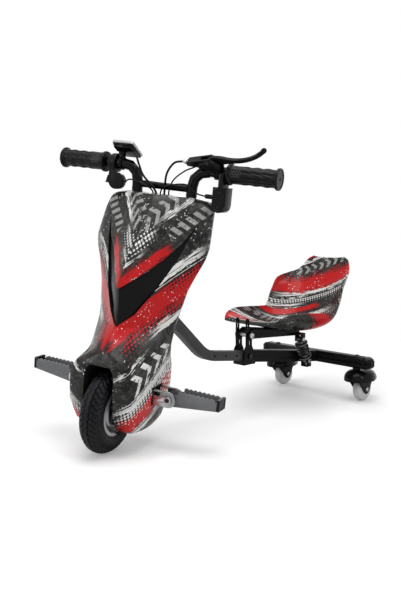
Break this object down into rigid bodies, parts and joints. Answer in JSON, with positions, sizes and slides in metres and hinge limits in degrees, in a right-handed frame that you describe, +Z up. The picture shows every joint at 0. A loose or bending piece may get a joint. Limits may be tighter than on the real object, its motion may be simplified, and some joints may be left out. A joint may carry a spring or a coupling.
{
  "type": "electric drift scooter",
  "caption": "Three-wheeled electric drift scooter with a motor front wheel, fairing, folding foot pegs, a sprung bucket seat and trailing rear casters",
  "frame": {"origin": "on the ground under the middle of the whole scooter, with the steering turned as in the picture", "axes": "+Z up, -Y to the front of the scooter, +X to its left as the rider sits"},
  "size_m": [0.5512, 0.9868, 0.7207],
  "materials": {
    "tyre_rubber": "moulded tread",
    "grip_rubber": "moulded, ribbed",
    "cable_rubber": "smooth sheath",
    "cast_aluminium": "cast, satin",
    "bright_steel": "zinc plated",
    "black_frame": "satin powder coat",
    "grey_frame": "satin powder coat",
    "peg_grey": "satin powder coat",
    "peg_bracket_silver": "satin silver coat",
    "spring_black": "gloss powder coat",
    "printed_shell": "gloss moulding with a printed film in charcoal, red and white",
    "gloss_black": "high gloss",
    "control_black": "fine grain",
    "control_grey": "smooth",
    "display_silver": "satin plate",
    "battery_wrap": "shrink wrap",
    "caster_white": "satin, slightly see-through"
  },
  "bodies": {
    "frame": {"main_tube": "grey_frame", "head_bearing_lower": "bright_steel", "head_bearing_upper": "bright_steel"},
    "rear_unit": {"rear_frame": "black_frame", "seat_bracket": "black_frame", "seat_pivot_bolt": "bright_steel", "shock_pin_lower": "bright_steel", "bracket_bolt_left": "bright_steel", "bracket_bolt_right": "bright_steel", "beam_cap_left": "gloss_black", "beam_cap_right": "gloss_black", "caster_kingpin_left": "black_frame", "caster_kingpin_right": "black_frame"},
    "steering_unit": {"steering_fork": "black_frame", "front_axle": "bright_steel", "brake_plate": "cast_aluminium", "handlebar": "black_frame", "grip_left": "grip_rubber", "grip_right": "grip_rubber", "fairing_front": "printed_shell", "fairing_rear": "printed_shell", "fairing_insert": "gloss_black", "battery_pack": "battery_wrap", "motor_controller": "cast_aluminium", "peg_bracket_left": "peg_bracket_silver", "peg_bracket_right": "peg_bracket_silver", "peg_pin_left": "bright_steel", "peg_pin_right": "bright_steel", "brake_bracket": "black_frame", "barrel_adjuster": "bright_steel", "brake_cable": "cable_rubber", "brake_switch_wire": "cable_rubber", "switch_wire": "cable_rubber", "throttle_wire": "cable_rubber", "display_wire": "cable_rubber", "switch_pod": "control_black", "throttle_housing": "control_black", "display_housing": "gloss_black", "display_plate": "display_silver"},
    "front_wheel": {"front_tyre": "tyre_rubber", "front_rim": "cast_aluminium", "hub_motor": "cast_aluminium"},
    "peg_left": {"foot_peg_left": "peg_grey"},
    "peg_right": {"foot_peg_right": "peg_grey"},
    "brake_lever_body": {"brake_lever": "black_frame"},
    "throttle_lever_body": {"throttle_lever": "control_black"},
    "horn_button_body": {"horn_button": "control_grey"},
    "light_button_body": {"light_button": "control_grey"},
    "display_button_body": {"display_button": "control_grey"},
    "seat": {"seat_pan": "printed_shell", "seat_carrier": "black_frame", "shock_pin_upper": "bright_steel"},
    "damper_rod": {"shock_rod": "peg_grey"},
    "damper_tube": {"shock_body": "black_frame", "shock_spring": "spring_black"},
    "caster_left": {"caster_hood_left": "gloss_black"},
    "caster_right": {"caster_hood_right": "gloss_black"},
    "wheel_left": {"caster_wheel_left": "caster_white"},
    "wheel_right": {"caster_wheel_right": "caster_white"}
  },
  "joints": [
    {"name": "rear_unit_slide", "type": "slide", "parent": "frame", "child": "rear_unit", "axis": [0, 0.9912, -0.1323], "range_m": [-0.084, 0.042]},
    {"name": "steering", "type": "hinge", "parent": "frame", "child": "steering_unit", "pos_m": [-0.01843, -0.27259, 0.3571], "axis": [0, 0.309, 0.9511], "range_deg": [-62, 18]},
    {"name": "front_wheel_spin", "type": "hinge", "parent": "steering_unit", "child": "front_wheel", "pos_m": [-0.00217, -0.39858, 0.0996], "axis": [0.9272, 0.3563, -0.1158], "continuous": true},
    {"name": "peg_fold_left", "type": "hinge", "parent": "steering_unit", "child": "peg_left", "pos_m": [0.09619, -0.29211, 0.12664], "axis": [0.3563, -0.9341, -0.0214], "range_deg": [0, 85]},
    {"name": "peg_fold_right", "type": "hinge", "parent": "steering_unit", "child": "peg_right", "pos_m": [-0.13746, -0.38189, 0.15581], "axis": [-0.3563, 0.9341, 0.0214], "range_deg": [0, 85]},
    {"name": "brake_squeeze", "type": "hinge", "parent": "steering_unit", "child": "brake_lever_body", "pos_m": [0.12476, -0.20244, 0.66604], "axis": [-0.1701, 0.6757, 0.7173], "range_deg": [0, 11], "stiffness_Nm_per_rad": 2, "springref_deg": -11.46},
    {"name": "throttle_push", "type": "hinge", "parent": "steering_unit", "child": "throttle_lever_body", "pos_m": [-0.13826, -0.2741, 0.67118], "axis": [-0.9272, -0.3563, 0.1158], "range_deg": [0, 40], "stiffness_Nm_per_rad": 0.08, "springref_deg": -17.19},
    {"name": "horn_press", "type": "slide", "parent": "steering_unit", "child": "horn_button_body", "axis": [0.3563, -0.9341, -0.0214], "range_m": [0, 0.0025], "stiffness_N_per_m": 1200, "springref_m": -0.001},
    {"name": "light_press", "type": "slide", "parent": "steering_unit", "child": "light_button_body", "axis": [0.3563, -0.9341, -0.0214], "range_m": [0, 0.0025], "stiffness_N_per_m": 1200, "springref_m": -0.001},
    {"name": "display_press", "type": "slide", "parent": "steering_unit", "child": "display_button_body", "axis": [0.0779, -0.4856, -0.8707], "range_m": [0, 0.0008], "stiffness_N_per_m": 1500, "springref_m": -0.0005},
    {"name": "seat_sink", "type": "hinge", "parent": "rear_unit", "child": "seat", "pos_m": [-0.01843, 0.07741, 0.2171], "axis": [-1, 0, 0], "range_deg": [0, 4.2], "stiffness_Nm_per_rad": 1500, "springref_deg": -1.15, "deforming": ["shock_spring"]},
    {"name": "damper_tube_tilt", "type": "hinge", "parent": "rear_unit", "child": "damper_tube", "pos_m": [0.02157, 0.30041, 0.1201], "axis": [-1, 0, 0], "range_deg": [-7.64, 0.05]},
    {"name": "damper_rod_tilt", "type": "hinge", "parent": "seat", "child": "damper_rod", "pos_m": [0.02157, 0.27041, 0.1871], "axis": [-1, 0, 0], "range_deg": [-11.84, 0.05]},
    {"name": "caster_swivel_left", "type": "hinge", "parent": "rear_unit", "child": "caster_left", "pos_m": [0.12957, 0.39841, 0.0951], "axis": [0, 0, 1], "continuous": true},
    {"name": "caster_spin_left", "type": "hinge", "parent": "caster_left", "child": "wheel_left", "pos_m": [0.12957, 0.42841, 0.0351], "axis": [1, 0, 0], "continuous": true},
    {"name": "caster_swivel_right", "type": "hinge", "parent": "rear_unit", "child": "caster_right", "pos_m": [-0.16643, 0.39841, 0.0951], "axis": [0, 0, 1], "continuous": true},
    {"name": "caster_spin_right", "type": "hinge", "parent": "caster_right", "child": "wheel_right", "pos_m": [-0.16643, 0.42841, 0.0351], "axis": [1, 0, 0], "continuous": true}
  ],
  "couplings": [
    {"joint": "damper_tube_tilt", "follows": "seat_sink", "ratio": -1.8074},
    {"joint": "damper_rod_tilt", "follows": "seat_sink", "ratio": -2.8074}
  ]
}
